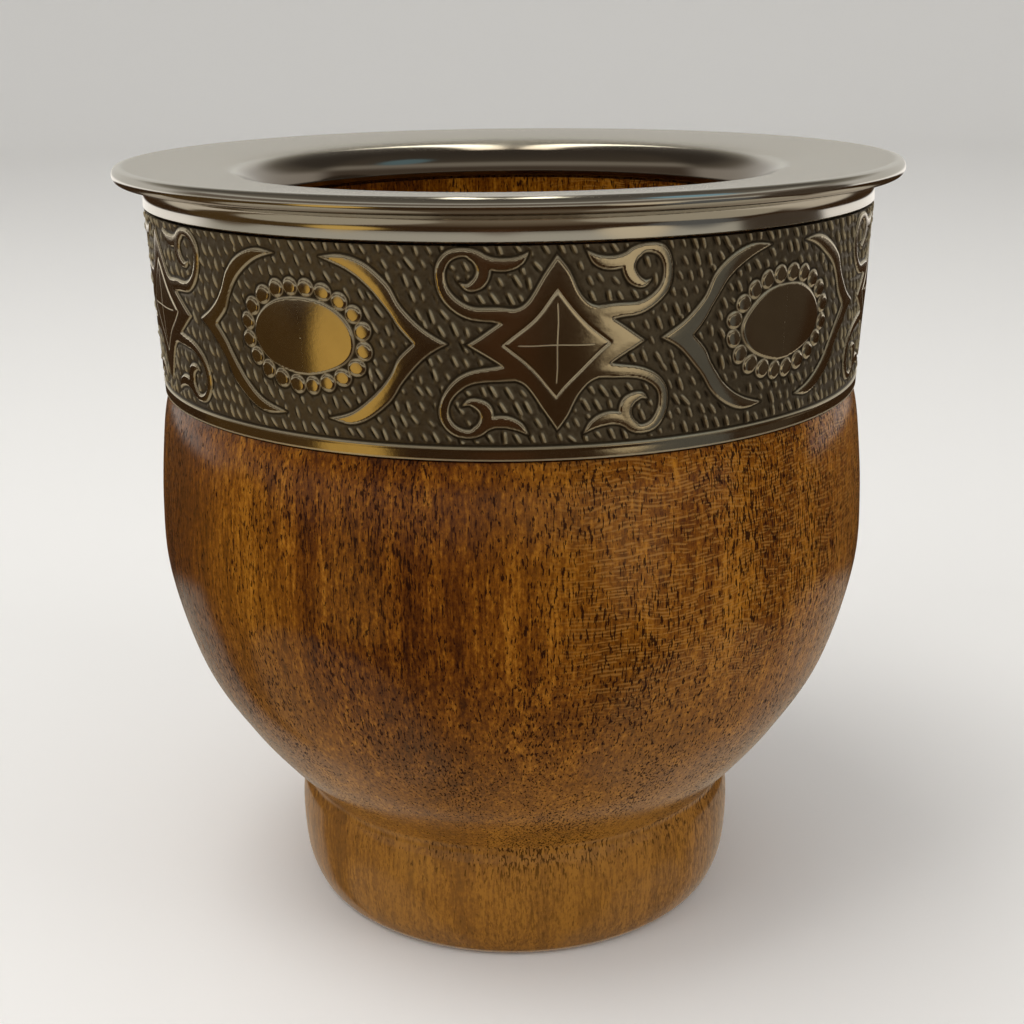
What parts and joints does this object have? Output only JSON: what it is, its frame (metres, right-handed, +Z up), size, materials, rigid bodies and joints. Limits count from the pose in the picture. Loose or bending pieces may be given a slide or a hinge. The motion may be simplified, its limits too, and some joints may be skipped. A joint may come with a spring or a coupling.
{
  "type": "wooden mate cup with metal mouth ring and embossed band",
  "caption": "Turned wooden mate cup on a short foot, with a wide dished steel mouth ring and an embossed metal band of stars and beaded ovals.",
  "frame": {"origin": "middle of the foot's flat underside, on the cup's axis", "axes": "+Z up along the cup's axis; -Y faces the viewer of the picture, +X to the viewer's right"},
  "size_m": [0.09, 0.09, 0.0907],
  "materials": {
    "wood": "turned reddish-brown hardwood with fine dark pores, satin lacquer",
    "steel": "satin lip with a polished rolled edge",
    "nickel_silver": "embossed sheet, darkened ground and polished raised work"
  },
  "bodies": {
    "root": {"wood_cup": "wood", "mouth_ring": "steel", "band": "nickel_silver"}
  },
  "joints": []
}
